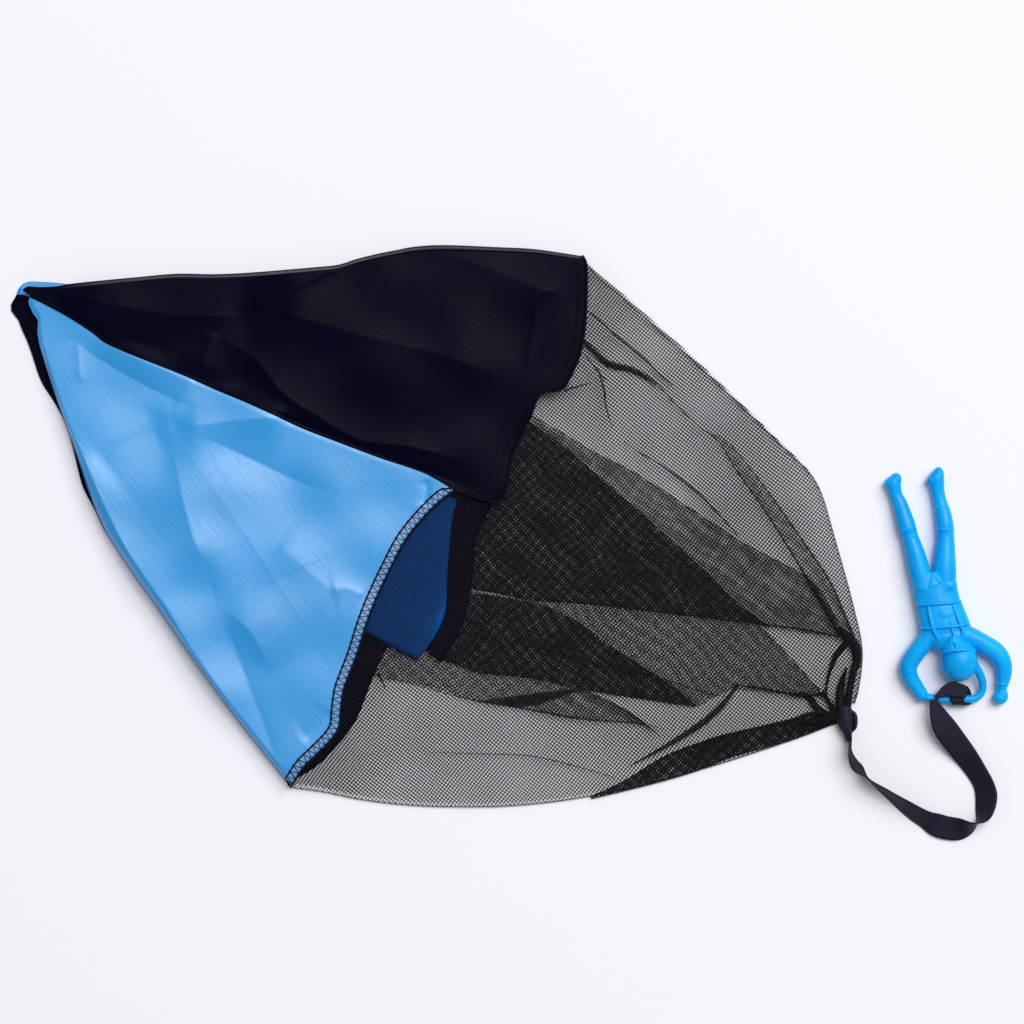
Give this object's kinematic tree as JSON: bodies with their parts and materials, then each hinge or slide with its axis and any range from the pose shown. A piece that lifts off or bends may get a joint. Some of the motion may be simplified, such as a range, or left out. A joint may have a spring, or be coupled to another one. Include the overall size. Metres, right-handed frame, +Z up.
{
  "type": "toy parachute",
  "caption": "Hand-thrown toy parachute, folded flat: a sewn cloth canopy with a net skirt gathered to a ribbon that carries a moulded parachutist.",
  "frame": {"origin": "on the table, under the middle of the folded toy's outline without its ribbon", "axes": "+Z up from the table; +X from the canopy's apex towards the figure; +Y from the ribbon's bend towards the figure's feet"},
  "size_m": [0.4002, 0.238, 0.014],
  "materials": {
    "blue_cloth": "woven taffeta with a soft satin sheen",
    "black_cloth": "woven taffeta with a soft satin sheen",
    "black_net": "fine open mesh",
    "black_ribbon": "grosgrain, ribbed across",
    "blue_plastic": "soft semi-gloss moulding"
  },
  "bodies": {
    "canopy": {"gore_blue_front": "blue_cloth", "gore_black_front": "black_cloth", "gore_blue_back": "blue_cloth", "gore_black_back": "black_cloth", "gore_blue_inner": "blue_cloth", "gore_black_inner": "black_cloth", "net_panel_front": "black_net", "net_panel_back": "black_net", "gather_knot": "black_ribbon"},
    "tether": {"ribbon": "black_ribbon"},
    "loop": {"ribbon_loop": "black_ribbon"},
    "parachutist": {"figure": "blue_plastic"}
  },
  "joints": [
    {"name": "strap_swing", "type": "hinge", "parent": "canopy", "child": "tether", "pos_m": [0.13352, -0.07659, 0], "axis": [0, 0, 1], "range_deg": [-45, 6]},
    {"name": "loop_turn", "type": "hinge", "parent": "tether", "child": "loop", "pos_m": [0.16874, -0.06879, 0], "axis": [0, 0, 1], "range_deg": [-20, 8]},
    {"name": "figure_lift", "type": "hinge", "parent": "loop", "child": "parachutist", "pos_m": [0.18069, -0.06939, 0.00342], "axis": [1, 0, 0], "range_deg": [0, 90]}
  ]
}
